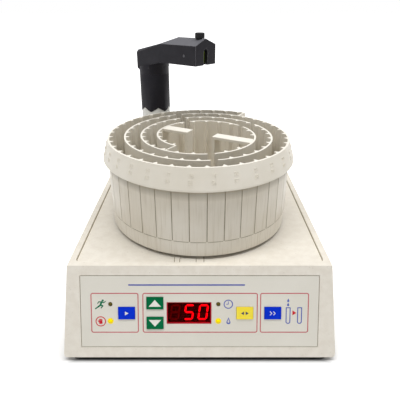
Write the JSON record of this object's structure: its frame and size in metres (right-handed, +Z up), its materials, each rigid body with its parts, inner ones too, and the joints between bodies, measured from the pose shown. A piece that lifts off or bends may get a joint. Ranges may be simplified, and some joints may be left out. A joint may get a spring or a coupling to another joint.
{
  "type": "fraction collector",
  "caption": "Bench-top fraction collector: sloped-front case with keys and display, turning spiral tube rack with pocketed lanes, and a swinging arm on a column.",
  "frame": {"origin": "centre of the whole part's box at the level of the feet's undersides", "axes": "+Z up, front panel towards -Y, +X to the right seen from the front"},
  "size_m": [0.2406, 0.272, 0.258],
  "materials": {
    "case_plastic": "fine moulded grain",
    "pan_plastic": "satin",
    "foot_rubber": "matt",
    "zinc_steel": "bright zinc",
    "overlay_film": "fine texture",
    "window_acrylic": "clear red",
    "display_body": "matt",
    "digit_lit": "lit",
    "digit_dark": "unlit",
    "lamp_lit": "lit amber",
    "lamp_dark": "unlit amber",
    "key_blue": "embossed film",
    "key_green": "embossed film",
    "key_yellow": "embossed film",
    "board_green": "solder mask",
    "black_plastic": "satin",
    "rear_metal": "powder coat",
    "socket_metal": "nickel",
    "rocker_red": "gloss",
    "plate_steel": "brushed",
    "brass": "turned",
    "motor_paint": "satin",
    "shaft_steel": "ground",
    "gear_acetal": "acetal",
    "turntable_plastic": "satin",
    "spring_steel": "oiled",
    "rack_plastic": "satin moulded",
    "post_plastic": "satin moulded",
    "arm_plastic": "fine grain",
    "former_acrylic": "clear yellow-green"
  },
  "bodies": {
    "case": {"case_shell": "case_plastic", "base_pan": "pan_plastic", "feet": "foot_rubber", "pan_screws": "zinc_steel", "index_plate": "case_plastic", "front_overlay": "overlay_film", "display_window": "window_acrylic", "display_module": "display_body", "digits_lit": "digit_lit", "digit_unlit": "digit_dark", "lamps_lit": "lamp_lit", "lamps_dark": "lamp_dark", "control_board": "board_green", "key_switches": "black_plastic", "board_screws": "zinc_steel", "rear_plate": "rear_metal", "rear_screws": "zinc_steel", "power_jack": "black_plastic", "signal_socket": "socket_metal", "switch_bezel": "black_plastic", "drive_plate": "plate_steel", "plate_posts": "brass", "plate_screws": "zinc_steel", "motor": "motor_paint", "spindle_bush": "brass", "lower_bush": "brass", "rack_sensor": "black_plastic", "post_bush": "post_plastic", "post_washer": "spring_steel"},
    "spindle": {"spindle": "shaft_steel", "drive_gear": "gear_acetal", "spindle_clip": "spring_steel", "turntable": "turntable_plastic", "turntable_screw": "zinc_steel"},
    "pinion": {"motor_shaft": "shaft_steel", "pinion": "brass"},
    "rack": {"rack_rim_wall": "rack_plastic", "rack_lane_outer": "rack_plastic", "rack_lane_inner": "rack_plastic", "rack_floor": "rack_plastic", "rack_grips": "rack_plastic"},
    "post": {"crown_post": "post_plastic", "post_clip": "spring_steel"},
    "arm": {"arm_sleeve": "arm_plastic", "arm_body": "arm_plastic", "arm_pins": "spring_steel", "side_screw": "spring_steel", "drop_former": "former_acrylic", "drop_sensor": "board_green"},
    "thumb_screw": {"thumb_screw": "black_plastic"},
    "rocker": {"rocker": "rocker_red"},
    "key_run": {"key_run": "key_blue"},
    "key_up": {"key_up": "key_green"},
    "key_down": {"key_down": "key_green"},
    "key_mode": {"key_mode": "key_yellow"},
    "key_advance": {"key_advance": "key_blue"}
  },
  "joints": [
    {"name": "rack_spin", "type": "hinge", "parent": "case", "child": "spindle", "pos_m": [0, -0.005, 0.09], "axis": [0, 0, 1], "continuous": true},
    {"name": "pinion_spin", "type": "hinge", "parent": "case", "child": "pinion", "pos_m": [0.0361, -0.005, 0.06], "axis": [0, 0, 1], "continuous": true},
    {"name": "rack_lift", "type": "slide", "parent": "spindle", "child": "rack", "axis": [0, 0, 1], "range_m": [0, 0.04]},
    {"name": "arm_swing", "type": "hinge", "parent": "case", "child": "post", "pos_m": [-0.05382, 0.10856, 0.1], "axis": [0, 0, 1], "range_deg": [-20, 75]},
    {"name": "arm_lift", "type": "slide", "parent": "post", "child": "arm", "axis": [0, 0, 1], "range_m": [0, 0.03]},
    {"name": "thumb_screw_turn", "type": "hinge", "parent": "arm", "child": "thumb_screw", "pos_m": [0.00013, 0.05646, 0.25], "axis": [0, 0, 1], "continuous": true},
    {"name": "rocker_tip", "type": "hinge", "parent": "case", "child": "rocker", "pos_m": [0.04, 0.1288, 0.04], "axis": [0, 0, 1], "range_deg": [0, 18]},
    {"name": "key_run_press", "type": "slide", "parent": "case", "child": "key_run", "axis": [0, 0.9397, -0.342], "range_m": [0, 0.0006], "stiffness_N_per_m": 300, "springref_m": -0.001},
    {"name": "key_up_press", "type": "slide", "parent": "case", "child": "key_up", "axis": [0, 0.9397, -0.342], "range_m": [0, 0.0006], "stiffness_N_per_m": 300, "springref_m": -0.001},
    {"name": "key_down_press", "type": "slide", "parent": "case", "child": "key_down", "axis": [0, 0.9397, -0.342], "range_m": [0, 0.0006], "stiffness_N_per_m": 300, "springref_m": -0.001},
    {"name": "key_mode_press", "type": "slide", "parent": "case", "child": "key_mode", "axis": [0, 0.9397, -0.342], "range_m": [0, 0.0006], "stiffness_N_per_m": 300, "springref_m": -0.001},
    {"name": "key_advance_press", "type": "slide", "parent": "case", "child": "key_advance", "axis": [0, 0.9397, -0.342], "range_m": [0, 0.0006], "stiffness_N_per_m": 300, "springref_m": -0.001}
  ],
  "couplings": [
    {"joint": "pinion_spin", "follows": "rack_spin", "ratio": -5}
  ]
}
